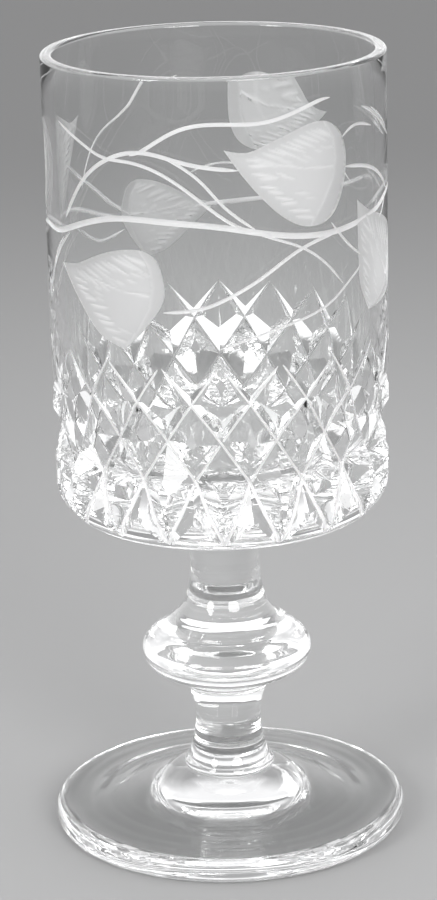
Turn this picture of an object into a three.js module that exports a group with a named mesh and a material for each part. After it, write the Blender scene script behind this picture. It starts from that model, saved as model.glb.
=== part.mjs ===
// Cut-crystal water goblet, in millimetres, +Z up.
// Origin: centre of the ring the foot stands on. -Y is the front of the goblet.
// Three gathers of glass joined hot, end to end: a blown bowl with a thick base,
// a solid stem drawn into one knop, and a pressed foot with a raised boss.
import * as THREE from "three";
import {
  mergeGeometries,
  mergeVertices,
} from "three/addons/utils/BufferGeometryUtils.js";

// ---- driving dimensions ----------------------------------------------------
const HEIGHT = 160; // foot to rim
const BOWL_R = 33.5; // outside of the bowl
const BOWL_WALL = 2.4; // at the lip
const LIP_ROUND = 0.7; // edge rounding of the lip, inside and out
const BASE_Z = 66.3; // lowest point of the rounded heel of the bowl
const HEEL_A = 9.7; // heel, radial half-axis
const HEEL_B = 8.8; // heel, vertical half-axis
const FLOOR_Z = 78; // inside floor of the bowl

const BOWL_JOINT_Z = 62.2; // bowl to stem
const BOWL_JOINT_R = 7.7;
const FOOT_JOINT_Z = 11.6; // stem to foot
const FOOT_JOINT_R = 8.9;

const FOOT_R = 36;
const FOOT_EDGE = 5.2; // thickness of the foot's rim
const FOOT_RING_IN = 29.5; // bearing ring, inner radius
const FOOT_RING_OUT = 33.8; // bearing ring, outer radius
const FOOT_KICK = 2; // hollow under the foot, at its centre

const CUTS = 18; // mitre cuts each way round the bowl
const CUT_TOP_Z = 105.4; // where the cuts run out on the wall
const CUT_ROW = 8.05; // height of half a diamond on the wall
const CUT_ROWS = 4; // half-diamond rows, the last one over the heel
const CUT_HEEL_ARC = 13.2; // arc length of the last row
const CUT_SLOPE = Math.tan((36 * Math.PI) / 180); // flank of a mitre cut

const SEG = 72; // facets round the bowl and the foot
const STEM_SEG = 40;

// ---- materials --------------------------------------------------------------
const crystal = (name) =>
  new THREE.MeshStandardMaterial({
    name,
    color: 0xeef2f3,
    roughness: 0.04,
    metalness: 0,
    transparent: true,
    opacity: 0.35,
  });

// ---- helpers ----------------------------------------------------------------
const V2 = (r, z) => new THREE.Vector2(r, z);

// A lathe about Z. Angle 0 is the front, -Y.
function lathe(points, segments) {
  const g = new THREE.LatheGeometry(points, segments);
  g.deleteAttribute("normal");
  g.deleteAttribute("uv");
  g.rotateX(Math.PI / 2);
  return g;
}

// Smooth profile through control points, as a list of points.
function smooth(points, count) {
  const curve = new THREE.CatmullRomCurve3(
    points.map(([r, z]) => new THREE.Vector3(r, z, 0)),
    false,
    "centripetal",
  );
  return curve.getSpacedPoints(count).map((p) => V2(p.x, p.y));
}

// Welds the seams of the given geometries and drops faces that collapsed on the axis.
function weld(...geometries) {
  const g = mergeVertices(
    geometries.length > 1 ? mergeGeometries(geometries) : geometries[0],
    1e-3,
  );
  const kept = [];
  const index = g.index.array;
  for (let i = 0; i < index.length; i += 3) {
    const [a, b, c] = [index[i], index[i + 1], index[i + 2]];
    if (a !== b && b !== c && c !== a) kept.push(a, b, c);
  }
  g.setIndex(kept);
  g.computeVertexNormals();
  return g;
}

function arc(cx, cz, a, b, from, to, count) {
  const out = [];
  for (let i = 0; i <= count; i++) {
    const t = from + ((to - from) * i) / count;
    out.push(V2(cx + a * Math.cos(t), cz + b * Math.sin(t)));
  }
  return out;
}

// ---- bowl -------------------------------------------------------------------
// Outside profile below the top of the cutting, by arc length: wall, then heel.
const wallRun = CUT_TOP_Z - (BASE_Z + HEEL_B);
const heelLine = arc(
  BOWL_R - HEEL_A,
  BASE_Z + HEEL_B,
  HEEL_A,
  HEEL_B,
  0,
  -Math.PI / 2,
  64,
);
function outside(s) {
  // { r, z, nr, nz } at arc length s below the top of the cutting
  if (s <= wallRun) return { r: BOWL_R, z: CUT_TOP_Z - s, nr: 1, nz: 0 };
  let left = s - wallRun;
  for (let i = 1; i < heelLine.length; i++) {
    const p = heelLine[i - 1];
    const q = heelLine[i];
    const d = p.distanceTo(q);
    if (left <= d) {
      const t = left / d;
      return {
        r: p.x + (q.x - p.x) * t,
        z: p.y + (q.y - p.y) * t,
        nr: -(q.y - p.y) / d,
        nz: (q.x - p.x) / d,
      };
    }
    left -= d;
  }
  throw new Error("past the end of the heel");
}
const rowArc = (b) =>
  b <= CUT_ROWS - 1
    ? b * CUT_ROW
    : (CUT_ROWS - 1) * CUT_ROW + (b - CUT_ROWS + 1) * CUT_HEEL_ARC;
// Half-width of a cut at row b: it runs out at the top tips and at the heel.
const CUT_HALF_WIDTHS = [0, 1.65, 4.2, 4.55, 0];
function halfWidth(b) {
  const i = Math.min(Math.floor(b), CUT_ROWS - 1);
  const t = b - i;
  return CUT_HALF_WIDTHS[i] * (1 - t) + CUT_HALF_WIDTHS[i + 1] * t;
}
const PITCH = Math.PI / CUTS; // half a diamond, as an angle
const DIAMOND_REACH =
  (BOWL_R * PITCH * CUT_ROW) / Math.hypot(BOWL_R * PITCH, CUT_ROW); // centre to cut line

// A point of the cut band: column a and row b of the lattice, at a depth below the surface.
function onBowl(a, b, depth) {
  const o = outside(rowArc(b));
  const r = o.r - depth * o.nr;
  return [
    r * Math.sin(a * PITCH),
    -r * Math.cos(a * PITCH),
    o.z - depth * o.nz,
  ];
}

function cutBand() {
  const position = [];
  const tri = (...corners) => corners.forEach((p) => position.push(...p));
  const node = (a, b) => onBowl(a, b, halfWidth(b) * CUT_SLOPE);
  const share = (b) => 1 - halfWidth(b) / DIAMOND_REACH;
  const perPitch = SEG / (2 * CUTS); // ring segments per column
  for (let a = 0; a < 2 * CUTS; a++)
    for (let b = 0; b <= CUT_ROWS; b++) {
      if ((a + b) % 2 === 0) continue; // a crossing of two cuts
      if (b > 0 && b < CUT_ROWS) {
        // a whole diamond: crossings above, right, below and left of it
        const out = [node(a, b - 1), node(a + 1, b), node(a, b + 1), node(a - 1, b)];
        const k = [share(b - 0.8), share(b), share(b + 0.8), share(b)];
        const top = [
          onBowl(a, b - k[0], 0),
          onBowl(a + k[1], b, 0),
          onBowl(a, b + k[2], 0),
          onBowl(a - k[3], b, 0),
        ];
        for (let i = 0; i < 4; i++) {
          const j = (i + 1) % 4;
          tri(out[i], top[i], out[j]);
          tri(top[i], top[j], out[j]);
        }
        tri(top[0], top[3], top[2]);
        tri(top[0], top[2], top[1]);
      } else {
        // half a diamond on the edge of the band: its flat side lies on a ring
        const up = b === 0;
        const tip = node(a, up ? 1 : CUT_ROWS - 1);
        const k = share(up ? 0.8 : CUT_ROWS - 0.8);
        const inner = onBowl(a, up ? k : CUT_ROWS - k, 0);
        const ring = [];
        for (let i = 0; i <= 2 * perPitch; i++)
          ring.push(onBowl(a - 1 + i / perPitch, b, 0));
        const first = ring[0];
        const last = ring[ring.length - 1];
        if (up) {
          tri(first, tip, inner);
          tri(inner, tip, last);
          for (let i = 1; i < ring.length; i++) tri(ring[i - 1], inner, ring[i]);
        } else {
          tri(first, inner, tip);
          tri(inner, last, tip);
          for (let i = 1; i < ring.length; i++) tri(ring[i - 1], ring[i], inner);
        }
      }
    }
  return new THREE.BufferGeometry()
    .setAttribute("position", new THREE.Float32BufferAttribute(position, 3))
    .setIndex([...Array(position.length / 3).keys()]);
}

function bowl() {
  const heelEnd = outside(rowArc(CUT_ROWS));
  // under the bowl: joint face, fillet to the stem, shallow base, then up the rest of the heel
  const under = [
    V2(0, BOWL_JOINT_Z),
    V2(BOWL_JOINT_R, BOWL_JOINT_Z),
    ...smooth(
      [
        [7.95, 62.9],
        [8.7, 63.8],
        [10.6, 64.7],
        [14.5, 65.5],
        [19, 66.05],
        [BOWL_R - HEEL_A, BASE_Z],
      ],
      6,
    ),
    ...heelLine
      .filter((p) => p.x > BOWL_R - HEEL_A + 1 && p.x < heelEnd.r - 0.6)
      .reverse()
      .filter((_, i) => i % 9 === 4),
    V2(heelEnd.r, heelEnd.z),
  ];
  // above the cutting: plain wall, lip, inside wall, rounded corner and floor
  const inR = BOWL_R - BOWL_WALL;
  const over = [
    V2(BOWL_R, CUT_TOP_Z),
    V2(BOWL_R, 140),
    ...arc(BOWL_R - LIP_ROUND, HEIGHT - LIP_ROUND, LIP_ROUND, LIP_ROUND, 0, Math.PI / 2, 3),
    ...arc(inR + LIP_ROUND, HEIGHT - LIP_ROUND, LIP_ROUND, LIP_ROUND, Math.PI / 2, Math.PI, 3),
    V2(inR - 0.2, 138),
    V2(inR - 0.8, 110),
    V2(inR - 1.6, 97),
    V2(inR - 2.2, 92),
    ...smooth(
      [
        [inR - 2.9, 86],
        [inR - 3.6, 82.6],
        [inR - 4.9, 80.4],
        [inR - 7.0, 79.0],
        [inR - 10, FLOOR_Z + 0.4],
      ],
      7,
    ),
    V2(0, FLOOR_Z),
  ];
  return weld(lathe(under, SEG), cutBand(), lathe(over, SEG));
}

// ---- stem -------------------------------------------------------------------
function stem() {
  const side = smooth(
    [
      [FOOT_JOINT_R, FOOT_JOINT_Z],
      [9.25, 12.1],
      [8.95, 13.0],
      [8.3, 14.1],
      [7.25, 17.3],
      [6.66, 21.6],
      [6.95, 25.2],
      [7.7, 27.9],
      [8.55, 29.6],
      [9.9, 30.9],
      [12.6, 32.2],
      [15.9, 34.2],
      [17.3, 37.3],
      [15.9, 40.1],
      [12.6, 42.8],
      [9.5, 45.9],
      [7.9, 49.0],
      [7.12, 52.6],
      [7.0, 57.0],
      [7.25, 60.2],
      [BOWL_JOINT_R, BOWL_JOINT_Z],
    ],
    38,
  );
  return weld(
    lathe([V2(0, FOOT_JOINT_Z), ...side, V2(0, BOWL_JOINT_Z)], STEM_SEG),
  );
}

// ---- foot -------------------------------------------------------------------
function foot() {
  const under = [
    V2(0, FOOT_KICK),
    V2(12, FOOT_KICK * 0.86),
    V2(21, FOOT_KICK * 0.5),
    V2(FOOT_RING_IN - 2, FOOT_KICK * 0.12),
    V2(FOOT_RING_IN, 0),
    V2(FOOT_RING_OUT, 0),
  ];
  const edge = smooth(
    [
      [FOOT_R - 0.9, 0.5],
      [FOOT_R - 0.15, 1.6],
      [FOOT_R, 2.9],
      [FOOT_R - 0.3, 4.1],
      [FOOT_R - 1.2, FOOT_EDGE - 0.15],
    ],
    6,
  );
  const top = smooth(
    [
      [33, FOOT_EDGE + 0.1],
      [27, FOOT_EDGE + 0.4],
      [20.5, FOOT_EDGE + 0.85],
      [18.0, 6.4],
      [16.1, 7.0],
      [14.8, 8.2],
      [13.3, 9.8],
      [11.3, 10.95],
      [FOOT_JOINT_R, FOOT_JOINT_Z],
    ],
    14,
  );
  return weld(lathe([...under, ...edge, ...top, V2(0, FOOT_JOINT_Z)], SEG));
}

// ---- assembly -----------------------------------------------------------------
const goblet = new THREE.Group();
for (const [name, geometry] of [
  ["bowl", bowl()],
  ["stem", stem()],
  ["foot", foot()],
]) {
  const mesh = new THREE.Mesh(geometry, crystal(name + "_crystal"));
  mesh.name = name;
  goblet.add(mesh);
}

export default goblet;
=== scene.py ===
import math
import random

import bmesh
import bpy
import numpy as np
from mathutils import Matrix, Vector
from mathutils.geometry import delaunay_2d_cdt


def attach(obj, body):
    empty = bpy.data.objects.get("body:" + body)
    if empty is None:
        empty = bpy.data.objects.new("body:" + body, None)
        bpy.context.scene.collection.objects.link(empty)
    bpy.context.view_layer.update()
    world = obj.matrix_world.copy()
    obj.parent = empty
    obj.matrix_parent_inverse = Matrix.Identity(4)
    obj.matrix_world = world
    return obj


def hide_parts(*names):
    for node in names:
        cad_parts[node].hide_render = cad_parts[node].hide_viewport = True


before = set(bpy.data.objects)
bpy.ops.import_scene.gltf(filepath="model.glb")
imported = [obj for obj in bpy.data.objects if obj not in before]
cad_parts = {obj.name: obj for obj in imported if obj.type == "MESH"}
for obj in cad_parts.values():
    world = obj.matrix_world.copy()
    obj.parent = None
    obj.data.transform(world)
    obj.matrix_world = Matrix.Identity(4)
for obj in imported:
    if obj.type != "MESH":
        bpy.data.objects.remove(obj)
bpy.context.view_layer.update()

MM = 0.001

# ---------------------------------------------------------------------------
# Sizes, in millimetres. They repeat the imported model's.
# ---------------------------------------------------------------------------
HEIGHT = 160.0
BOWL_R = 33.5
BOWL_WALL = 2.4
LIP = 0.7
BASE_Z = 66.3
HEEL_A = 9.7
HEEL_B = 8.8
FLOOR_Z = 78.0
JOINT1_Z, JOINT1_R = 62.2, 7.7
JOINT2_Z, JOINT2_R = 11.6, 8.9

CUTS = 18
CUT_TOP_Z = 105.4
CUT_ROW = 8.05
CUT_ROWS = 4
CUT_HEEL_ARC = 13.2
PITCH = math.pi / CUTS
FLANK = math.tan(math.radians(36))


# ---------------------------------------------------------------------------
# Curves and meshes
# ---------------------------------------------------------------------------
def natural_spline(points, count, closed=False):
    """Points of a C2 cubic through the given ones, by chord length."""
    p = np.array(points, float)
    if closed:
        p = np.vstack([p[-3:], p, p[:3]])
    d = np.sqrt(np.linalg.norm(np.diff(p, axis=0), axis=1))
    t = np.concatenate([[0], np.cumsum(d)])
    n = len(t)
    h = np.diff(t)
    a = np.zeros((n, n))
    b = np.zeros((n, p.shape[1]))
    a[0, 0] = a[-1, -1] = 1
    for i in range(1, n - 1):
        a[i, i - 1 : i + 2] = h[i - 1], 2 * (h[i - 1] + h[i]), h[i]
        b[i] = 6 * ((p[i + 1] - p[i]) / h[i] - (p[i] - p[i - 1]) / h[i - 1])
    m = np.linalg.solve(a, b)
    lo, hi = (t[3], t[-3]) if closed else (t[0], t[-1])

    def at(x):
        i = np.clip(np.searchsorted(t, x, "right") - 1, 0, n - 2)
        w, v, k = t[i + 1] - x, x - t[i], h[i]
        return (
            m[i] * (w**3 / (6 * k))[:, None]
            + m[i + 1] * (v**3 / (6 * k))[:, None]
            + (p[i] / k[:, None] - m[i] * k[:, None] / 6) * w[:, None]
            + (p[i + 1] / k[:, None] - m[i + 1] * k[:, None] / 6) * v[:, None]
        )

    fine = at(np.linspace(lo, hi, 40 * len(points)))
    run = np.concatenate([[0], np.cumsum(np.linalg.norm(np.diff(fine, axis=0), axis=1))])
    want = np.linspace(0, run[-1], count + 1)
    return np.column_stack([np.interp(want, run, fine[:, k]) for k in range(p.shape[1])])


def arc(cx, cz, a, b, start, end, count):
    t = np.linspace(start, end, count + 1)
    return np.column_stack([cx + a * np.cos(t), cz + b * np.sin(t)])


def line(p, q, count):
    t = np.linspace(0, 1, count + 1)[:, None]
    return np.array(p) * (1 - t) + np.array(q) * t


def joined(*runs):
    out = []
    for run in runs:
        for p in run:
            if not out or math.dist(out[-1], p) > 1e-4:
                out.append(tuple(p))
    return np.array(out)


def lathe(profile, segments):
    """Vertices and faces of a profile turned about Z. Angle 0 is the front, -Y."""
    verts, faces, rings = [], [], []
    phi = np.arange(segments) * 2 * math.pi / segments
    for r, z in profile:
        if r < 1e-6:
            rings.append([len(verts)])
            verts.append((0, 0, z))
        else:
            rings.append(list(range(len(verts), len(verts) + segments)))
            verts.extend(zip(r * np.sin(phi), -r * np.cos(phi), [z] * segments))
    for low, high in zip(rings, rings[1:]):
        for i in range(segments):
            j = (i + 1) % segments
            if len(low) == 1:
                faces.append((low[0], high[j], high[i]))
            elif len(high) == 1:
                faces.append((low[i], low[j], high[0]))
            else:
                faces.append((low[i], low[j], high[j], high[i]))
    return verts, faces


def make_mesh(name, verts, faces, materials, index=0):
    me = bpy.data.meshes.new(name)
    me.from_pydata((np.array(verts, float) * MM).tolist(), [], faces)
    for m in materials:
        me.materials.append(m)
    if index:
        me.polygons.foreach_set("material_index", [index] * len(me.polygons))
    me.update()
    return me


def make_object(name, mesh):
    ob = bpy.data.objects.new(name, mesh)
    bpy.context.scene.collection.objects.link(ob)
    return ob


class Solid:
    """Closed cutters gathered into one mesh."""

    def __init__(self):
        self.verts, self.faces, self.marks = [], [], []

    def add(self, verts, faces, marks=None):
        v = np.array(verts, float)
        vol = 0.0
        for f in faces:
            for i in range(1, len(f) - 1):
                vol += np.dot(v[f[0]], np.cross(v[f[i]], v[f[i + 1]]))
        if vol < 0:
            faces = [tuple(reversed(f)) for f in faces]
        n = len(self.verts)
        self.verts.extend(v.tolist())
        self.faces.extend(tuple(i + n for i in f) for f in faces)
        self.marks.extend(marks or [0] * len(faces))

    def loft(self, sections, marked=()):
        """A solid through rings of points, with flat ends. The sides listed are marked."""
        k = len(sections[0])
        verts = [p for s in sections for p in s]
        faces, marks = [], []
        for i in range(len(sections) - 1):
            for j in range(k):
                m = (j + 1) % k
                faces.append((i * k + j, i * k + m, (i + 1) * k + m, (i + 1) * k + j))
                marks.append(int(j in marked))
        last = (len(sections) - 1) * k
        faces.append(tuple(reversed(range(k))))
        faces.append(tuple(range(last, last + k)))
        self.add(verts, faces, marks + [0, 0])


def cut(ob, solid, *materials):
    """Takes the solid out of the object. The cut faces get the material, marked ones the second."""
    tool = make_object("cutter", make_mesh("cutter", solid.verts, solid.faces, materials))
    tool.data.polygons.foreach_set("material_index", solid.marks)
    mod = ob.modifiers.new("cut", "BOOLEAN")
    mod.operation = "DIFFERENCE"
    mod.solver = "MANIFOLD"
    mod.material_mode = "TRANSFER"
    mod.object = tool
    graph = bpy.context.evaluated_depsgraph_get()
    new = bpy.data.meshes.new_from_object(ob.evaluated_get(graph))
    ob.modifiers.clear()
    old, ob.data = ob.data, new
    new.name = ob.name
    bpy.data.meshes.remove(old)
    used = tool.data
    bpy.data.objects.remove(tool)
    bpy.data.meshes.remove(used)


# ---------------------------------------------------------------------------
# Materials
# ---------------------------------------------------------------------------
def new_material(name):
    m = bpy.data.materials.new(name)
    m.use_nodes = True
    nt = m.node_tree
    nt.nodes.clear()
    out = nt.nodes.new("ShaderNodeOutputMaterial")
    return m, nt, out


def node(nt, kind, **values):
    n = nt.nodes.new(kind)
    for key, value in values.items():
        if key in n.inputs:
            n.inputs[key].default_value = value
        else:
            setattr(n, key, value)
    return n


def ramp(nt, source, low, high, from_low=0.3, from_high=0.7):
    n = nt.nodes.new("ShaderNodeMapRange")
    n.inputs["From Min"].default_value = from_low
    n.inputs["From Max"].default_value = from_high
    n.inputs["To Min"].default_value = low
    n.inputs["To Max"].default_value = high
    nt.links.new(source, n.inputs["Value"])
    return n.outputs["Result"]


def crystal(name, tint, rough, wave_scale, wave_depth, stretch):
    """Clear crystal: faint ripple of hand-worked glass and a trace of handling marks."""
    m, nt, out = new_material(name)
    p = node(nt, "ShaderNodeBsdfPrincipled", Roughness=0.0, IOR=1.545)
    p.inputs["Base Color"].default_value = (*tint, 1)
    p.inputs["Transmission Weight"].default_value = 1.0
    tc = node(nt, "ShaderNodeTexCoord")
    mp = node(nt, "ShaderNodeMapping")
    mp.inputs["Scale"].default_value = stretch
    nt.links.new(tc.outputs["Object"], mp.inputs["Vector"])
    wave = node(nt, "ShaderNodeTexNoise", Scale=wave_scale, Detail=1.5, Roughness=0.4)
    nt.links.new(mp.outputs["Vector"], wave.inputs["Vector"])
    bump = node(nt, "ShaderNodeBump", Strength=1.0, Distance=wave_depth)
    nt.links.new(wave.outputs["Fac"], bump.inputs["Height"])
    nt.links.new(bump.outputs["Normal"], p.inputs["Normal"])
    smear = node(nt, "ShaderNodeTexNoise", Scale=90.0, Detail=4.0, Roughness=0.6)
    nt.links.new(tc.outputs["Object"], smear.inputs["Vector"])
    nt.links.new(ramp(nt, smear.outputs["Fac"], 0.0, rough, 0.5, 0.8), p.inputs["Roughness"])
    nt.links.new(p.outputs["BSDF"], out.inputs["Surface"])
    return m


def frosted(name, transmission, rough, grain, depth, whiteness=None):
    """Matt wheel-engraved glass: fine grind with grain-sized bumps. Given a range, it is whiter where it is ground harder."""
    m, nt, out = new_material(name)
    p = node(nt, "ShaderNodeBsdfPrincipled", IOR=1.545)
    p.inputs["Base Color"].default_value = (0.99, 0.99, 0.99, 1)
    if whiteness:
        ground = node(nt, "ShaderNodeAttribute", attribute_name="ground")
        nt.links.new(ramp(nt, ground.outputs["Fac"], *whiteness, 0.0, 1.0), p.inputs["Base Color"])
    p.inputs["Transmission Weight"].default_value = transmission
    tc = node(nt, "ShaderNodeTexCoord")
    fine = node(nt, "ShaderNodeTexNoise", Scale=grain, Detail=3.0, Roughness=0.65)
    nt.links.new(tc.outputs["Object"], fine.inputs["Vector"])
    bump = node(nt, "ShaderNodeBump", Strength=1.0, Distance=depth)
    nt.links.new(fine.outputs["Fac"], bump.inputs["Height"])
    nt.links.new(bump.outputs["Normal"], p.inputs["Normal"])
    cloud = node(nt, "ShaderNodeTexNoise", Scale=260.0, Detail=3.0, Roughness=0.5)
    nt.links.new(tc.outputs["Object"], cloud.inputs["Vector"])
    nt.links.new(ramp(nt, cloud.outputs["Fac"], rough - 0.1, rough + 0.1), p.inputs["Roughness"])
    nt.links.new(p.outputs["BSDF"], out.inputs["Surface"])
    return m


def fused():
    """The face where two gathers are joined hot: nothing is left to see of it."""
    m, nt, out = new_material("fused_joint")
    t = node(nt, "ShaderNodeBsdfTransparent")
    nt.links.new(t.outputs["BSDF"], out.inputs["Surface"])
    return m


CLEAR = crystal("bowl_clear_crystal", (0.985, 0.99, 0.988), 0.02, 60.0, 0.00002, (1, 1, 0.25))
CUTM = crystal("bowl_mitre_cut", (0.985, 0.99, 0.988), 0.03, 220.0, 0.00001, (1, 1, 1))
WORN = frosted("bowl_mitre_bottom", 0.6, 0.55, 2500.0, 0.00001)
LEAF = frosted("bowl_engraved_leaf", 0.65, 0.8, 5000.0, 0.00003, (0.62, 1.0))
VINE = frosted("bowl_engraved_tendril", 0.68, 0.8, 5000.0, 0.00003)
STEMM = crystal("stem_clear_crystal", (0.985, 0.99, 0.988), 0.02, 220.0, 0.00006, (1, 1, 1.6))
FOOTM = crystal("foot_clear_crystal", (0.985, 0.99, 0.988), 0.03, 70.0, 0.00001, (1, 1, 1))
FUSED = fused()

# ---------------------------------------------------------------------------
# Bowl: blank
# ---------------------------------------------------------------------------
IN_R = BOWL_R - BOWL_WALL
heel = arc(BOWL_R - HEEL_A, BASE_Z + HEEL_B, HEEL_A, HEEL_B, -math.pi / 2, 0, 28)
under = natural_spline(
    [(JOINT1_R, JOINT1_Z), (7.95, 62.9), (8.7, 63.8), (10.6, 64.7), (14.5, 65.5), (19, 66.05), (BOWL_R - HEEL_A, BASE_Z)], 24
)
corner = natural_spline(
    [(IN_R - 2.2, 92), (IN_R - 2.9, 86), (IN_R - 3.6, 82.6), (IN_R - 4.9, 80.4), (IN_R - 7.0, 79), (IN_R - 10, FLOOR_Z + 0.4), (12, FLOOR_Z + 0.08)], 44
)
bowl_profile = joined(
    [(0, JOINT1_Z)],
    under,
    heel,
    line((BOWL_R, BASE_Z + HEEL_B), (BOWL_R, HEIGHT - LIP), 12),
    arc(BOWL_R - LIP, HEIGHT - LIP, LIP, LIP, 0, math.pi / 2, 8),
    arc(IN_R + LIP, HEIGHT - LIP, LIP, LIP, math.pi / 2, math.pi, 8),
    natural_spline([(IN_R, HEIGHT - LIP), (IN_R - 0.2, 138), (IN_R - 0.8, 110), (IN_R - 1.6, 97), (IN_R - 2.2, 92)], 14),
    corner,
    line((12, FLOOR_Z + 0.08), (0, FLOOR_Z), 3),
)

SEG = 240
verts, faces = lathe(bowl_profile, SEG)
bowl = make_object("goblet_bowl", make_mesh("goblet_bowl", verts, faces, [CLEAR]))

# Outside of the bowl by arc length below the top of the cutting
heel_down = heel[::-1]
wall_run = CUT_TOP_Z - (BASE_Z + HEEL_B)
heel_run = np.concatenate([[0], np.cumsum(np.linalg.norm(np.diff(heel_down, axis=0), axis=1))])


def outside(s):
    if s <= wall_run:
        return BOWL_R, CUT_TOP_Z - s, 1.0, 0.0
    x = min(s - wall_run, heel_run[-1])
    r = np.interp(x, heel_run, heel_down[:, 0])
    z = np.interp(x, heel_run, heel_down[:, 1])
    nr, nz = (r - (BOWL_R - HEEL_A)) / HEEL_A**2, (z - (BASE_Z + HEEL_B)) / HEEL_B**2
    k = math.hypot(nr, nz)
    return r, z, nr / k, nz / k


def row_arc(b):
    if b <= CUT_ROWS - 1:
        return b * CUT_ROW
    return (CUT_ROWS - 1) * CUT_ROW + (b - CUT_ROWS + 1) * CUT_HEEL_ARC


def at_surface(phi, s):
    r, z, nr, nz = outside(s)
    p = np.array([r * math.sin(phi), -r * math.cos(phi), z])
    n = np.array([nr * math.sin(phi), -nr * math.cos(phi), nz])
    return p, n


# ---------------------------------------------------------------------------
# Bowl: mitre cutting
# ---------------------------------------------------------------------------
rng = random.Random(11)
PROUD = 0.9  # how far a cutter stands out of the surface

# depth and half-width of the worn bottom, by row
CUT_DEPTH = [
    (-0.35, -0.3), (0.0, 0.03), (0.25, 0.25), (0.5, 0.53), (0.75, 0.82), (1.0, 1.2), (1.25, 1.76), (1.5, 2.33), (1.75, 2.83),
    (2.0, 3.15), (2.5, 3.45), (3.0, 3.6), (3.5, 2.2), (4.0, 0.1), (4.1, -0.3),
]
CUT_WORN = [(0.0, 0.2), (1.0, 0.22), (2.6, 0.24), (3.3, 0.36)]


def table(rows, b):
    x, y = zip(*rows)
    return float(np.interp(b, x, y))


def mitre(solid, path, depth, worn, flanks):
    """One V cut along points (angle, arc length), with the depth at each and half the width of its worn bottom."""
    pts = [at_surface(phi, s) for phi, s in path]
    left, right = flanks
    rings = []
    for i, (p, n) in enumerate(pts):
        t = pts[min(i + 1, len(pts) - 1)][0] - pts[max(i - 1, 0)][0]
        t -= n * np.dot(t, n)
        t /= np.linalg.norm(t)
        side = np.cross(t, n)
        low = [(u * worn[i], -depth[i] + worn[i] * (left if u < 0 else right) * (0.38 + 0.62 * u * u)) for u in (-1, -0.4, 0.4, 1)]
        ring = [(-(PROUD + depth[i]) / left, PROUD), *low, ((PROUD + depth[i]) / right, PROUD)]
        rings.append([p + n * h + side * u for u, h in ring])
    solid.loft(rings, marked=(1, 2, 3))


for hand in (1, -1):
    made = []
    for k in range(CUTS):
        shift = rng.uniform(-0.05, 0.05)
        scale = rng.uniform(0.95, 1.05)
        early = rng.uniform(-0.12, 0.12)
        flanks = [FLANK * rng.uniform(0.94, 1.06) for _ in range(2)]
        path, depth, worn = [], [], []
        for b in np.arange(-0.3 + early, 4.06, 0.08):
            a = 2 * k + hand * b + shift
            path.append((a * PITCH, row_arc(b)))
            bb = b - early * max(0, 1 - b)
            depth.append(table(CUT_DEPTH, bb) * scale)
            worn.append(table(CUT_WORN, b))
        made.append((path, depth, worn, flanks))
    for turn in (0, 1):  # every other cut, as neighbours overlap above the surface
        group = Solid()
        for one in made[turn::2]:
            mitre(group, *one)
        cut(bowl, group, CUTM, WORN)

# ---------------------------------------------------------------------------
# Bowl: engraving. Points are (degrees round from the front, height).
# ---------------------------------------------------------------------------
def on_wall(x, z, h):
    """x in mm round the wall, z up, h out of the surface."""
    r = BOWL_R + h
    return (r * math.sin(x / BOWL_R), -r * math.cos(x / BOWL_R), z)


# Outlines of two leaves in mm: runs between corners, from the tip round to the tip
ROUND_LEAF = [
    [
        (-13.4, 5.6), (-10.3, 1.0), (-7.0, -3.1), (-3.7, -6.5), (-0.2, -9.0), (3.4, -10.1), (7.9, -9.2), (10.9, -5.4),
        (12.3, -0.4), (12.1, 4.2), (10.2, 7.7), (7.0, 9.4), (2.9, 9.2), (-1.8, 7.6), (-5.8, 6.1), (-9.0, 5.0), (-13.4, 5.6),
    ],
]
KITE_LEAF = [
    [(-13.8, 3.9), (-9.6, -0.8), (-5.8, -4.9), (-2.2, -8.2), (3.6, -10.3)],
    [
        (3.6, -10.3), (7.2, -6.9), (10.4, -3.1), (12.2, 0.4), (12.0, 4.2), (10.7, 7.5), (8.0, 9.1),
        (3.4, 8.9), (-0.8, 7.8), (-5.0, 6.1), (-8.6, 4.7), (-13.8, 3.9),
    ],
]


def outline(kind):
    runs = []
    for run in kind:
        length = np.linalg.norm(np.diff(np.array(run), axis=0), axis=1).sum()
        runs.append(natural_spline(run, int(length / 0.36)))
    return joined(*runs)[:-1]


def place(points, deg, z, turn, size):
    c, s = math.cos(math.radians(turn)), math.sin(math.radians(turn))
    p = np.array(points, float) * np.array(size)
    return np.column_stack([c * p[:, 0] - s * p[:, 1] + math.radians(deg) * BOWL_R, s * p[:, 0] + c * p[:, 1] + z])


def lift(points, deg, z, turn, size):
    """The other way: wall mm to the leaf's own mm."""
    c, s = math.cos(math.radians(turn)), math.sin(math.radians(turn))
    round_the_bowl = 2 * math.pi * BOWL_R
    x = points[:, 0] - math.radians(deg) * BOWL_R
    x = x - round_the_bowl * np.round(x / round_the_bowl)
    y = points[:, 1] - z
    return np.column_stack([c * x + s * y, -s * x + c * y]) / np.array(size)


# outline, degrees, height, turn, size
LEAVES = [
    (ROUND_LEAF, 25.5, 141.0, 0, (1.0, 1.0)),
    (KITE_LEAF, -38.5, 118.2, 0, (1.0, 1.0)),
    (KITE_LEAF, 66.0, 122.0, -41, (1.0, 1.0)),
    (ROUND_LEAF, 155.6, 140.9, 12, (0.93, 0.82)),
    (KITE_LEAF, -158.5, 120.2, 6, (0.86, 0.84)),
    (ROUND_LEAF, -96.0, 138.4, -3, (0.97, 1.0)),
]


def nearest(points, edge):
    out = np.empty(len(points))
    a, b = edge, np.roll(edge, -1, axis=0)
    ab = b - a
    for i in range(0, len(points), 2000):
        p = points[i : i + 2000, None]
        t = np.clip(((p - a) * ab).sum(2) / (ab**2).sum(1), 0, 1)
        out[i : i + 2000] = np.linalg.norm(p - (a + t[..., None] * ab), axis=2).min(1)
    return out


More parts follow.
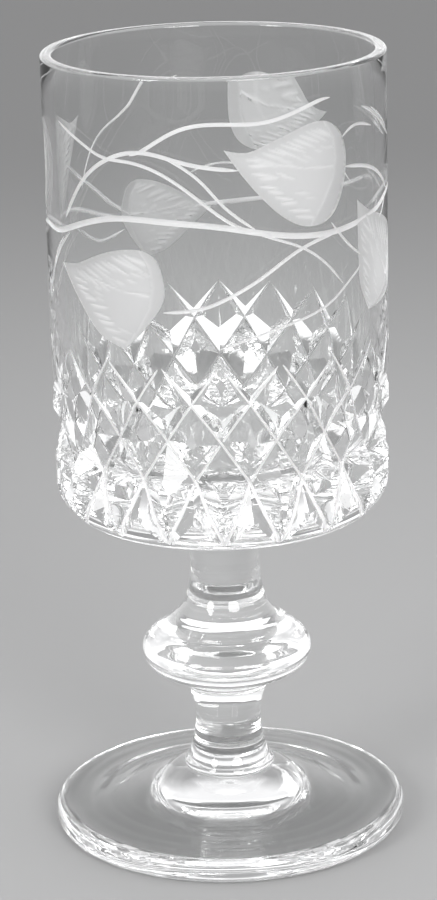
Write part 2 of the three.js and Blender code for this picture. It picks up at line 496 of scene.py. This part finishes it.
def within(points, edge):
    inside = np.zeros(len(points), bool)
    for (ax, ay), (bx, by) in zip(edge, np.roll(edge, -1, axis=0)):
        hit = ((ay > points[:, 1]) != (by > points[:, 1])) & (
            points[:, 0] < (bx - ax) * (points[:, 1] - ay) / (by - ay + 1e-12) + ax
        )
        inside ^= hit
    return inside


def leaf_strokes(edge, seed):
    """Wheel strokes of one leaf, as start, end, width and strength: from its margins inwards, and its midrib."""
    r = random.Random(seed)
    low = edge[: int(np.argmin(edge[:, 1])) + 1]
    high = edge[int(np.argmax(edge[:, 1])) :]
    made = []

    def stroke(x, y, run, fall, width, strength):
        p = np.array([x, y])
        made.append((p, p + np.array([run, -run * fall]), width, strength))

    y = low[0, 1] - 2.0
    while y > low[-1, 1] + 1.2:
        x = float(np.interp(-y, -low[:, 1], low[:, 0])) + r.uniform(1.6, 2.8)
        stroke(x, y, r.uniform(2.8, 5.4), r.uniform(0.0, 0.2), r.uniform(0.65, 1.0), r.uniform(0.7, 1.0))
        if r.random() < 0.6:
            stroke(x + r.uniform(4.5, 7.5), y - r.uniform(0.4, 1.2), r.uniform(2.0, 3.6), r.uniform(0.1, 0.3), r.uniform(0.5, 0.8), r.uniform(0.35, 0.6))
        y -= r.uniform(1.0, 1.5)
    x = high[-1, 0] + 4.2
    while x < 6.6:
        y = float(np.interp(x, high[::-1, 0], high[::-1, 1])) - r.uniform(0.8, 1.5)
        stroke(x, y, r.uniform(3.6, 6.2), r.uniform(0.3, 0.5), r.uniform(0.6, 0.95), r.uniform(0.6, 1.0))
        if r.random() < 0.5:
            stroke(x + r.uniform(3.5, 5.5), y - r.uniform(2.6, 3.6), r.uniform(2.0, 3.4), r.uniform(0.25, 0.45), r.uniform(0.5, 0.75), r.uniform(0.3, 0.6))
        x += r.uniform(1.1, 1.7)
    made.append((np.array([13.0, 0.2]), np.array([2.0, 1.0]), 0.6, 0.8))
    made.append((np.array([3.4, 0.85]), np.array([-9.4, 3.6]), 0.5, 0.7))
    return made


def leaf_field(points, edge, strokes):
    """How deep and how white a leaf is ground at points in its own mm."""
    e = nearest(points, edge)
    s = np.zeros(len(points))
    for p, q, width, strength in strokes:
        ab = q - p
        t = np.clip(((points - p) * ab).sum(1) / (ab**2).sum(), 0, 1)
        d = np.linalg.norm(points - (p + t[:, None] * ab), axis=1)
        body = np.clip(4 * t * (1 - t), 0, 1) ** 0.5 * (1.15 - 0.3 * t)
        hollow = np.clip(1 - (d / (0.5 * width * np.maximum(body, 0.12))) ** 2, 0, 1)
        s = np.maximum(s, strength * hollow * (0.35 + 0.65 * body))
    deep = 0.08 + 0.2 * (1 - np.exp(-e / 1.5)) + 0.2 * s
    white = 0.12 + 0.42 * (1 - np.exp(-e / 2.4)) + 0.6 * s
    # a smooth facet down the right side
    crease = np.interp(points[:, 1], [-10, -6, -2, 2, 6, 9], [3.4, 6.6, 8.8, 9.6, 9.0, 7.0])
    over = points[:, 0] - crease
    facet = over > 0
    deep = np.where(facet, 0.12 + 0.11 * over, deep)
    white = np.where(facet, 0.18 + 0.4 * np.exp(-((over / 0.5) ** 2)), white)
    return deep, np.clip(white, 0, 1)


def leaf_cutter(solid, number, kind, deg, z, turn, size):
    edge = outline(kind)
    lo, hi = edge.min(0), edge.max(0)
    step = 0.36
    gx, gy = np.meshgrid(np.arange(lo[0] + 0.11, hi[0], step), np.arange(lo[1] + 0.07, hi[1], step * 0.87))
    gx = gx + 0.5 * step * (np.arange(gx.shape[0])[:, None] % 2)
    grid = np.column_stack([gx.ravel(), gy.ravel()])
    grid = grid[within(grid, edge)]
    grid = grid[nearest(grid, edge) > 0.2]
    pts = np.vstack([edge, grid])
    out = delaunay_2d_cdt([Vector(p) for p in pts], [], [list(range(len(edge)))], 1, 1e-6)
    flat = np.array([(v.x, v.y) for v in out[0]])
    tris = [tuple(f) for f in out[2]]
    depth, _ = leaf_field(flat, edge, leaf_strokes(edge, number))
    placed = place(flat, deg, z, turn, size)
    n = len(flat)
    verts = [on_wall(x, zz, -d) for (x, zz), d in zip(placed, depth)]
    verts += [on_wall(x, zz, 0.6) for x, zz in placed]
    faces = list(tris) + [tuple(reversed([i + n for i in f])) for f in tris]
    sides = {(f[i], f[(i + 1) % 3]) for f in tris for i in range(3)}
    rim = [(i, j) for i, j in sides if (j, i) not in sides]
    if len(rim) != len(edge):
        raise RuntimeError("leaf %d has a hole: %d %d" % (number, len(rim), len(edge)))
    faces += [(j, i, i + n, j + n) for i, j in rim]
    solid.add(verts, faces)


def channel(solid, points, width, depth, base=0.0, ends=(1.0, 1.0), step=0.6):
    """A rounded wheel cut along points (mm round, height). It runs out over the given lengths at its ends."""
    p = np.array(points, float)
    if len(p) > 2:
        length = np.linalg.norm(np.diff(p, axis=0), axis=1).sum()
        p = natural_spline(p, max(6, int(length / step)))
    else:
        length = float(np.linalg.norm(p[1] - p[0]))
        p = line(p[0], p[1], max(6, int(length / step)))
    run = np.concatenate([[0], np.cumsum(np.linalg.norm(np.diff(p, axis=0), axis=1))])
    rings = []
    for i, (x, z) in enumerate(p):
        t = p[min(i + 1, len(p) - 1)] - p[max(i - 1, 0)]
        t = t / np.linalg.norm(t)
        n = np.array([-t[1], t[0]])
        k = min(1.0, (run[i] + 0.04) / ends[0] if ends[0] else 1.0, (run[-1] - run[i] + 0.04) / ends[1] if ends[1] else 1.0)
        k = math.sqrt(max(k, 0.02))
        w, d = width * k / 2, depth * k
        ring = []
        for u, h in ((1.35, 0.55), (1.0, 0.0), (0.55, -0.72), (0.0, -1.0), (-0.55, -0.72), (-1.0, 0.0), (-1.35, 0.55)):
            q = (x + n[0] * u * w, z + n[1] * u * w)
            ring.append(on_wall(q[0], q[1], (0.5 if h > 0 else h * d) - base))
        rings.append(ring)
    solid.loft(rings)


for number, leaf in enumerate(LEAVES):
    body = Solid()
    leaf_cutter(body, number, *leaf)
    cut(bowl, body, LEAF)

# tendrils: width, depth, points
TENDRILS = [
    (1.15, 0.30, [(-100, 127.2), (-88, 127.8), (-77.4, 128.4), (-65.5, 128.2), (-55.9, 129.6), (-37.0, 132.8), (-19.0, 133.1), (-1.0, 132.3), (10.5, 131.1), (25.6, 129.5), (43.2, 129.1), (57.9, 130.2), (66.4, 131.0), (78.6, 132.9), (92, 133.4), (106, 132.0)]),
    (0.8, 0.24, [(-58.9, 131.2), (-50.4, 138.0), (-41.8, 142.5), (-31.1, 145.4), (-21.8, 145.8), (-13.5, 144.7), (-5.2, 143.6), (7.0, 142.7)]),
    (0.65, 0.2, [(-62.0, 149.6), (-47.1, 146.1), (-38.2, 144.3), (-28.2, 143.9), (-16.9, 141.8), (-5.5, 137.2), (6.3, 132.2), (14.4, 130.7)]),
    (0.75, 0.22, [(-28.5, 145.2), (-24.5, 146.1), (-14.9, 149.5), (-4.9, 151.3), (7.0, 151.3), (19.3, 151.7), (34.9, 154.3), (39.9, 154.6)]),
    (0.6, 0.2, [(-17.5, 145.3), (-13.5, 144.3), (-5.4, 141.0), (2.3, 136.0), (12.7, 131.2)]),
    (0.7, 0.22, [(-18.2, 115.7), (-6.4, 116.5), (1.7, 118.2), (14.1, 122.1), (27.7, 126.8), (43.2, 129.0)]),
    (0.5, 0.17, [(-0.3, 108.7), (18.1, 111.9), (37.1, 115.0), (47.7, 118.7), (60.4, 123.6), (70.0, 129.0), (76.6, 132.8)]),
    (0.5, 0.17, [(14.3, 130.1), (27.7, 127.2), (37.3, 123.3), (44.8, 118.7)]),
    (0.55, 0.18, [(39.7, 131.0), (49.5, 125.1), (60.0, 121.6)]),
    (0.6, 0.2, [(44.6, 146.5), (51.2, 148.4), (61.9, 147.3)]),
    (0.75, 0.22, [(46.0, 141.0), (58.8, 139.8), (70.0, 136.8), (78.0, 133.2)]),
    (0.6, 0.2, [(-166.8, 149.4), (-156.4, 146.8), (-143.8, 142.9), (-131.7, 139.6), (-123.1, 134.8), (-118.0, 129.5)]),
    (0.95, 0.42, [(-100.0, 136.8), (-105.8, 135.4), (-116.0, 132.2), (-127.0, 128.4), (-138.0, 123.8), (-146.0, 121.2)]),
    (0.8, 0.24, [(-112.0, 121.8), (-118.3, 120.1), (-128.7, 117.4), (-142.2, 118.5)]),
    (0.6, 0.2, [(-56.6, 128.6), (-61.8, 125.9), (-67.5, 122.2), (-72.9, 118.0), (-77.6, 113.3)]),
    (0.5, 0.17, [(-60.8, 127.3), (-66.2, 124.0), (-70.6, 119.9), (-74.3, 115.4)]),
    (1.05, 0.28, [(104, 132.3), (118, 129.6), (135, 126.6), (155, 124.0), (172, 122.6), (190, 121.6), (200, 121.0)]),
    (0.95, 0.26, [(-140, 121.2), (-128, 123.2), (-115, 125.6), (-98, 127.4)]),
    (0.7, 0.22, [(118, 129.8), (127, 133.0), (135, 138.5), (143, 142.0)]),
    (0.7, 0.2, [(55.5, 151.6), (61.5, 150.2), (75.5, 145.4), (82, 143.4)]),
    (0.55, 0.18, [(61.5, 150.9), (70.0, 148.2), (78, 145.2)]),
    (0.55, 0.18, [(150, 124.8), (164, 129.2), (178, 130.6), (190, 128.8)]),
    (0.6, 0.2, [(-80, 129.2), (-84, 133.4), (-86, 137.0)]),
]
for width, depth, points in TENDRILS:
    one = Solid()
    channel(one, [(math.radians(a) * BOWL_R, z) for a, z in points], width, depth, ends=(3.0, 3.0))
    cut(bowl, one, VINE)


# ---------------------------------------------------------------------------
# Normals: exact on the turned surfaces, sharp along every cut
# ---------------------------------------------------------------------------
def finish_normals(ob, profile, clear_name, sharp_deg=27.0):
    me = ob.data
    n_poly, n_loop, n_edge = len(me.polygons), len(me.loops), len(me.edges)
    mats = np.zeros(n_poly, int)
    me.polygons.foreach_get("material_index", mats)
    names = [m.name if m else "" for m in me.materials]
    clear = np.array([names[i] == clear_name for i in mats])
    me.polygons.foreach_set("use_smooth", [True] * n_poly)
    fn = np.zeros(n_poly * 3)
    me.polygons.foreach_get("normal", fn)
    fn = fn.reshape(-1, 3)
    total = np.zeros(n_poly, int)
    me.polygons.foreach_get("loop_total", total)
    loop_poly = np.repeat(np.arange(n_poly), total)
    le = np.zeros(n_loop, int)
    me.loops.foreach_get("edge_index", le)
    lv = np.zeros(n_loop, int)
    me.loops.foreach_get("vertex_index", lv)
    order = np.argsort(le, kind="stable")
    e_sorted, p_sorted = le[order], loop_poly[order]
    first = np.searchsorted(e_sorted, np.arange(n_edge))
    a, b = p_sorted[first], p_sorted[np.minimum(first + 1, n_loop - 1)]
    angle = np.degrees(np.arccos(np.clip((fn[a] * fn[b]).sum(1), -1, 1)))
    same = mats[a] == mats[b]
    sharp = (~same) | (angle > sharp_deg)
    sharp &= ~(clear[a] & clear[b] & (angle < 60))
    me.edges.foreach_set("use_edge_sharp", sharp.tolist())
    me.update()
    cn = np.zeros(n_loop * 3)
    me.corner_normals.foreach_get("vector", cn)
    cn = cn.reshape(-1, 3)
    co = np.zeros(len(me.vertices) * 3)
    me.vertices.foreach_get("co", co)
    co = co.reshape(-1, 3) / MM
    r = np.hypot(co[:, 0], co[:, 1])
    rz = np.column_stack([r, co[:, 2]])
    pa, pb = profile[:-1], profile[1:]
    ab = pb - pa
    seg_n = np.column_stack([ab[:, 1], -ab[:, 0]]) / np.linalg.norm(ab, axis=1)[:, None]
    vert_n = np.zeros_like(profile)
    vert_n[:-1] += seg_n
    vert_n[1:] += seg_n
    vert_n[0], vert_n[-1] = seg_n[0], seg_n[-1]
    vert_n /= np.linalg.norm(vert_n, axis=1)[:, None]
    best = np.full(len(rz), 1e9)
    rn = np.zeros_like(rz)
    for i in range(len(pa)):
        t = np.clip(((rz - pa[i]) * ab[i]).sum(1) / (ab[i] ** 2).sum(), 0, 1)
        d = np.linalg.norm(rz - (pa[i] + t[:, None] * ab[i]), axis=1)
        take = d < best
        best[take] = d[take]
        rn[take] = (vert_n[i] * (1 - t[:, None]) + vert_n[i + 1] * t[:, None])[take]
    rn /= np.linalg.norm(rn, axis=1)[:, None]
    safe = np.maximum(r, 1e-6)
    exact = np.column_stack([rn[:, 0] * co[:, 0] / safe, rn[:, 0] * co[:, 1] / safe, rn[:, 1]])
    take = clear[loop_poly]
    cand = exact[lv]
    take &= (cand * fn[loop_poly]).sum(1) > 0.8
    cn[take] = cand[take]
    me.normals_split_custom_set(cn.tolist())


def paint_flat(ob, z, radius, material):
    """Gives the faces of a joint at height z their own material."""
    me = ob.data
    me.materials.append(material)
    k = len(me.materials) - 1
    for p in me.polygons:
        if abs(p.center.z / MM - z) < 0.02 and abs(p.normal.z) > 0.99 and math.hypot(p.center.x, p.center.y) / MM < radius:
            p.material_index = k


def store_ground(ob):
    """How white each vertex of the engraving is ground, for the leaf material."""
    me = ob.data
    co = np.zeros(len(me.vertices) * 3)
    me.vertices.foreach_get("co", co)
    co = co.reshape(-1, 3) / MM
    wall = np.column_stack([np.arctan2(co[:, 0], -co[:, 1]) * BOWL_R, co[:, 2]])
    near = np.abs(np.hypot(co[:, 0], co[:, 1]) - BOWL_R) < 0.9
    white = np.full(len(co), 0.5)
    for number, (kind, *where) in enumerate(LEAVES):
        own = lift(wall, *where)
        edge = outline(kind)
        pick = np.where(near & (np.abs(own) < 15).all(1))[0]
        pick = pick[within(own[pick], edge)]
        white[pick] = leaf_field(own[pick], edge, leaf_strokes(edge, number))[1]
    me.attributes.new("ground", "FLOAT", "POINT").data.foreach_set("value", white)


def tidy(ob, dist=0.001 * MM):
    """Takes out the hair-thin slivers that crossing cuts leave."""
    bm = bmesh.new()
    bm.from_mesh(ob.data)
    bmesh.ops.triangulate(bm, faces=bm.faces)
    bmesh.ops.dissolve_degenerate(bm, dist=dist, edges=bm.edges)
    bm.to_mesh(ob.data)
    bm.free()


tidy(bowl)
store_ground(bowl)
paint_flat(bowl, JOINT1_Z, JOINT1_R, FUSED)
finish_normals(bowl, bowl_profile, CLEAR.name)
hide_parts("bowl")
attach(bowl, "root")

# ---------------------------------------------------------------------------
# Stem
# ---------------------------------------------------------------------------
def tooled(side, key, spans, seed):
    """Turning marks left in a profile: fine rings in spans of the key, each span with a spacing and a rise in mm."""
    r = random.Random(seed)
    step = np.gradient(side, axis=0)
    n = np.column_stack([step[:, 1], -step[:, 0]]) / np.linalg.norm(step, axis=1)[:, None]
    run = np.concatenate([[0], np.cumsum(np.linalg.norm(np.diff(side, axis=0), axis=1))])
    off = np.zeros(len(side))
    for low, high, gap, rise in spans:
        s, end = np.interp((low, high), key, run)
        while s < end:
            off += r.uniform(0.4, 1) * r.choice((-1, 1)) * rise * np.exp(-(((run - s) / (gap * r.uniform(0.25, 0.5))) ** 2))
            s += gap * r.uniform(0.6, 1.4)
    return side + n * off[:, None]


stem_side = natural_spline(
    [
        (JOINT2_R, JOINT2_Z), (9.25, 12.1), (8.95, 13.0), (8.3, 14.1), (7.25, 17.3), (6.66, 21.6), (6.95, 25.2), (7.7, 27.9), (8.55, 29.6), (9.9, 30.9), (12.6, 32.2),
        (15.9, 34.2), (17.3, 37.3), (15.9, 40.1), (12.6, 42.8), (9.5, 45.9), (7.9, 49.0), (7.12, 52.6), (7.0, 57.0), (7.25, 60.2), (JOINT1_R, JOINT1_Z),
    ],
    380,
)
stem_side = tooled(
    stem_side,
    stem_side[:, 1],
    [(12.9, 20.5, 0.9, 0.03), (20.5, 29.5, 2.2, 0.02), (30.5, 38.5, 2.4, 0.035), (38.5, 45.0, 1.8, 0.03), (45.0, 53.0, 1.2, 0.04), (53.0, 60.0, 3.0, 0.02)],
    5,
)
stem_profile = joined([(0, JOINT2_Z)], stem_side, [(0, JOINT1_Z)])
verts, faces = lathe(stem_profile, 128)
stem = make_object("goblet_stem", make_mesh("goblet_stem", verts, faces, [STEMM]))
paint_flat(stem, JOINT1_Z, JOINT1_R, FUSED)
paint_flat(stem, JOINT2_Z, JOINT2_R, FUSED)
finish_normals(stem, stem_profile, STEMM.name)
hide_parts("stem")
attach(stem, "root")

# ---------------------------------------------------------------------------
# Foot
# ---------------------------------------------------------------------------
FOOT_R, FOOT_EDGE, KICK = 36.0, 5.2, 2.0
foot_top = natural_spline(
    [
        (33, FOOT_EDGE + 0.1), (27, FOOT_EDGE + 0.4), (20.5, FOOT_EDGE + 0.85), (18.0, 6.4), (16.1, 7.0), (14.8, 8.2), (13.3, 9.8),
        (11.3, 10.95), (JOINT2_R, JOINT2_Z),
    ],
    120,
)
foot_top = tooled(foot_top, -foot_top[:, 0], [(-31.5, -19.0, 2.6, 0.07), (-15.5, -10.0, 1.6, 0.025)], 3)
foot_profile = joined(
    [(0, KICK)],
    natural_spline([(0.0, KICK), (12, KICK * 0.86), (21, KICK * 0.5), (27.5, KICK * 0.12), (29.5, 0)], 30),
    [(33.8, 0)],
    natural_spline([(33.8, 0), (FOOT_R - 0.9, 0.5), (FOOT_R - 0.15, 1.6), (FOOT_R, 2.9), (FOOT_R - 0.3, 4.1), (FOOT_R - 1.2, FOOT_EDGE - 0.15), (33, FOOT_EDGE + 0.1)], 26),
    foot_top,
    [(0, JOINT2_Z)],
)
verts, faces = lathe(foot_profile, 240)
foot = make_object("goblet_foot", make_mesh("goblet_foot", verts, faces, [FOOTM]))
paint_flat(foot, JOINT2_Z, JOINT2_R, FUSED)
finish_normals(foot, foot_profile, FOOTM.name)
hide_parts("foot")
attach(foot, "root")

for ob in (bowl, stem, foot):
    print("piece", ob.name, len(ob.data.polygons), "faces", sum(len(p.vertices) - 2 for p in ob.data.polygons), "triangles", [m.name for m in ob.data.materials])

# ---------------------------------------------------------------------------
# Camera: the photograph's view
# ---------------------------------------------------------------------------
cam_data = bpy.data.cameras.new("camera")
cam_data.sensor_width = 36.0
cam_data.lens = 3017.2 / 900 * 36
cam_data.clip_start = 0.01
cam = bpy.data.objects.new("camera", cam_data)
bpy.context.scene.collection.objects.link(cam)
pitch, yaw, roll = 0.296937, -0.001301, -0.023689
fwd = Vector((math.sin(yaw) * math.cos(pitch), math.cos(yaw) * math.cos(pitch), -math.sin(pitch)))
right = Vector((math.cos(yaw), -math.sin(yaw), 0))
up = right.cross(fwd)
x_axis = right * math.cos(roll) + up * math.sin(roll)
y_axis = up * math.cos(roll) - right * math.sin(roll)
m = Matrix((x_axis, y_axis, -fwd)).transposed().to_4x4()
m.translation = Vector((0, -0.57929, 0.25616))
cam.matrix_world = m
bpy.context.scene.camera = cam

# ---------------------------------------------------------------------------
# Stage and light
# ---------------------------------------------------------------------------
# A pale floor with a painted pool of light: its colour is lighter near the goblet and greyer away from it. It runs out
# into the backdrop
fm, nt, out = new_material("stage_floor")
p = node(nt, "ShaderNodeBsdfPrincipled", Roughness=0.75)
geo = node(nt, "ShaderNodeNewGeometry")
far = node(nt, "ShaderNodeVectorMath", operation="LENGTH")
nt.links.new(geo.outputs["Position"], far.inputs[0])
# painted pool of light: floor colour 0.37 at the goblet, greying to 0.2 by 0.75 m away
painted_light_pool = nt.nodes.new("ShaderNodeMapRange")
painted_light_pool.interpolation_type = "SMOOTHSTEP"
for key, value in (("From Min", 0.12), ("From Max", 0.75), ("To Min", 0.37), ("To Max", 0.2)):
    painted_light_pool.inputs[key].default_value = value
nt.links.new(far.outputs["Value"], painted_light_pool.inputs["Value"])
nt.links.new(painted_light_pool.outputs["Result"], p.inputs["Base Color"])
clear_far = node(nt, "ShaderNodeBsdfTransparent")
fade = nt.nodes.new("ShaderNodeMapRange")
fade.interpolation_type = "SMOOTHSTEP"
for key, value in (("From Min", 1.16), ("From Max", 1.7), ("To Min", 0.0), ("To Max", 1.0)):
    fade.inputs[key].default_value = value
nt.links.new(far.outputs["Value"], fade.inputs["Value"])
mix = node(nt, "ShaderNodeMixShader")
nt.links.new(fade.outputs["Result"], mix.inputs["Fac"])
nt.links.new(p.outputs["BSDF"], mix.inputs[1])
nt.links.new(clear_far.outputs["BSDF"], mix.inputs[2])
nt.links.new(mix.outputs["Shader"], out.inputs["Surface"])
fv = [(x * 2000, y * 2000, -0.02) for x, y in ((-1, -1), (1, -1), (1, 1), (-1, 1))]
floor = make_object("stage_floor", make_mesh("stage_floor", fv, [(0, 1, 2, 3)], [fm]))

world = bpy.data.worlds.new("studio")
bpy.context.scene.world = world
world.use_nodes = True
nt = world.node_tree
nt.nodes.clear()
wo = nt.nodes.new("ShaderNodeOutputWorld")
bg = nt.nodes.new("ShaderNodeBackground")
tc = nt.nodes.new("ShaderNodeTexCoord")
sp = nt.nodes.new("ShaderNodeSeparateXYZ")
nt.links.new(tc.outputs["Generated"], sp.inputs["Vector"])


def dome(steps):
    """Brightness of the studio by height, from the horizon up."""
    cr = nt.nodes.new("ShaderNodeValToRGB")
    nt.links.new(sp.outputs["Z"], cr.inputs["Fac"])
    while len(cr.color_ramp.elements) < len(steps):
        cr.color_ramp.elements.new(0.5)
    for e, (x, v) in zip(cr.color_ramp.elements, steps):
        e.position = x
        e.color = (v, v, v * 1.01, 1)
    return cr.outputs["Color"]


behind = dome([(0.0, 1.4), (0.1, 1.4), (0.2, 1.0), (0.3, 1.0), (0.4, 0.6), (0.5, 0.4), (0.68, 0.4), (0.8, 1.2), (0.92, 1.1), (1.0, 0.8)])
before = dome([(0.0, 0.5), (0.12, 0.6), (0.28, 1.05), (0.4, 1.58), (0.6, 1.42), (0.82, 1.0), (1.0, 0.75)])
turn = nt.nodes.new("ShaderNodeMapRange")
turn.interpolation_type = "SMOOTHSTEP"
for key, value in (("From Min", 0.55), ("From Max", -0.1), ("To Min", 0.0), ("To Max", 1.0)):
    turn.inputs[key].default_value = value
nt.links.new(sp.outputs["Y"], turn.inputs["Value"])
both = nt.nodes.new("ShaderNodeMix")
both.data_type = "RGBA"
nt.links.new(turn.outputs["Result"], both.inputs[0])
nt.links.new(behind, both.inputs[6])
nt.links.new(before, both.inputs[7])
nt.links.new(both.outputs[2], bg.inputs["Color"])
bg.inputs["Strength"].default_value = 1.0
nt.links.new(bg.outputs["Background"], wo.inputs["Surface"])


def softbox(name, pos, target, size, power, colour=(1, 1, 1)):
    d = bpy.data.lights.new(name, "AREA")
    d.shape = "ELLIPSE"
    d.size, d.size_y = size
    d.energy = power
    d.color = colour
    o = bpy.data.objects.new(name, d)
    bpy.context.scene.collection.objects.link(o)
    o.location = pos
    o.rotation_euler = (Vector(target) - Vector(pos)).to_track_quat("-Z", "Y").to_euler()
    return o


softbox("window_left", (-0.78, -0.76, 0.56), (0, 0, 0.08), (0.36, 0.6), 5.0)
softbox("window_right", (0.45, -1.05, 0.56), (0, 0, 0.08), (0.62, 0.56), 8.0)

sc = bpy.context.scene
sc.cycles.max_bounces = 32
sc.cycles.transmission_bounces = 28
sc.cycles.glossy_bounces = 16
sc.cycles.transparent_max_bounces = 24
sc.cycles.diffuse_bounces = 3
sc.view_settings.view_transform = "Standard"
